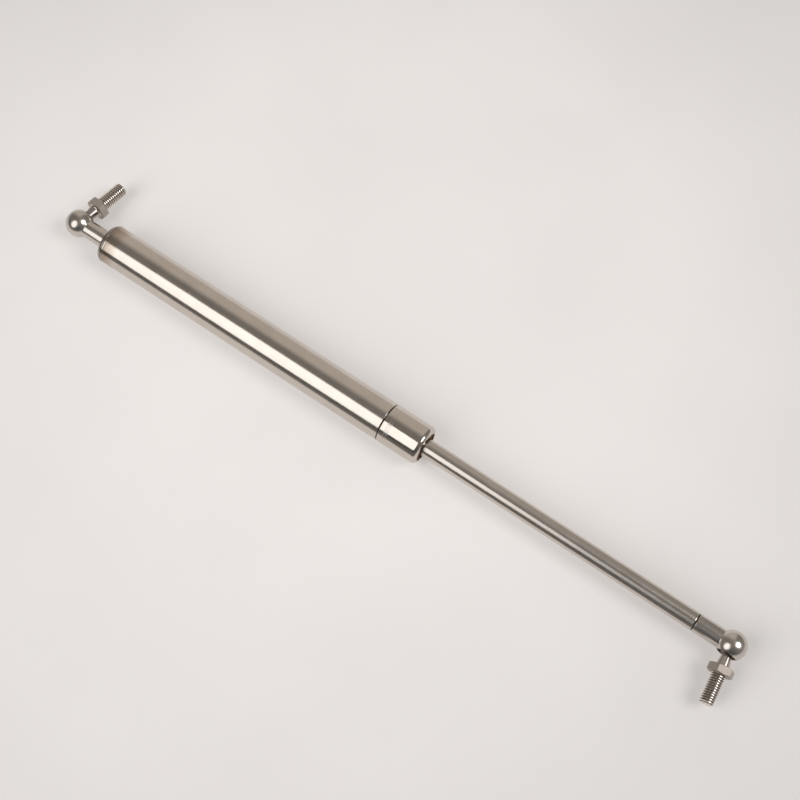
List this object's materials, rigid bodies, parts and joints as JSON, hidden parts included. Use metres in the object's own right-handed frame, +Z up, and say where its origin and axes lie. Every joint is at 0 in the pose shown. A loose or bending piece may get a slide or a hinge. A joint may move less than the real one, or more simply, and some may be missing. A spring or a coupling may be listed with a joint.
{
  "type": "gas strut stay",
  "caption": "Stainless gas strut stay with a telescoping rod, a socket housing at each end and a swivelling, tilting ball stud in each, for hatches and shutters.",
  "frame": {"origin": "centre of the ball in the tube-end socket, on the strut's axis", "axes": "+X along the strut's axis from the tube end to the rod end, +Z up from the surface that the strut lies on"},
  "size_m": [0.4304, 0.0638, 0.022],
  "materials": {
    "tube_steel": "fine drawn and polished stainless steel, satin",
    "rod_steel": "ground and polished stainless steel",
    "socket_steel": "turned and polished stainless steel",
    "stud_steel": "turned stainless steel with a rolled thread",
    "turned_steel": "turned stainless steel",
    "ring_steel": "spring steel strip",
    "guide_aluminium": "turned aluminium",
    "bush_bronze": "sintered bronze",
    "seal_rubber": "moulded nitrile rubber",
    "seat_plastic": "moulded acetal"
  },
  "bodies": {
    "cylinder": {"cylinder_tube": "tube_steel", "end_plug": "turned_steel", "end_plug_seal": "seal_rubber", "outer_washer": "turned_steel", "wiper_ring": "seal_rubber", "rod_guide": "guide_aluminium", "guide_bush": "bush_bronze", "guide_seal": "seal_rubber", "seal_backing_washer": "turned_steel", "rod_seal": "seal_rubber", "support_washer": "turned_steel", "tube_end_socket": "socket_steel", "tube_end_snap_ring": "ring_steel"},
    "piston_seal": {"piston_seal_ring": "seat_plastic"},
    "rod": {"piston_rod": "rod_steel", "piston_front_washer": "turned_steel", "piston": "guide_aluminium", "valve_disc": "turned_steel", "piston_rear_washer": "turned_steel", "piston_nut": "turned_steel", "rod_end_socket": "socket_steel", "rod_end_snap_ring": "ring_steel"},
    "tube_end_seat": {"tube_end_seat_cup": "seat_plastic"},
    "tube_end_stud": {"tube_end_ball_stud": "stud_steel"},
    "rod_end_seat": {"rod_end_seat_cup": "seat_plastic"},
    "rod_end_stud": {"rod_end_ball_stud": "stud_steel"}
  },
  "joints": [
    {"name": "rod_stroke", "type": "slide", "parent": "cylinder", "child": "piston_seal", "axis": [1, 0, 0], "range_m": [-0.15, 0], "stiffness_N_per_m": 400, "springref_m": 0.375},
    {"name": "rod_turn", "type": "hinge", "parent": "piston_seal", "child": "rod", "pos_m": [0.2, 0, 0], "axis": [1, 0, 0], "continuous": true},
    {"name": "tube_end_swivel", "type": "hinge", "parent": "cylinder", "child": "tube_end_seat", "pos_m": [0, 0, 0], "axis": [0, 0.9962, -0.0872], "continuous": true},
    {"name": "tube_end_tilt", "type": "hinge", "parent": "tube_end_seat", "child": "tube_end_stud", "pos_m": [0, 0, 0], "axis": [0, -0.0872, -0.9962], "range_deg": [-25, 11]},
    {"name": "rod_end_swivel", "type": "hinge", "parent": "rod", "child": "rod_end_seat", "pos_m": [0.414, 0, 0], "axis": [0, -0.9962, -0.0872], "continuous": true},
    {"name": "rod_end_tilt", "type": "hinge", "parent": "rod_end_seat", "child": "rod_end_stud", "pos_m": [0.414, 0, 0], "axis": [0, 0.0872, -0.9962], "range_deg": [-10.5, 25.5]}
  ]
}
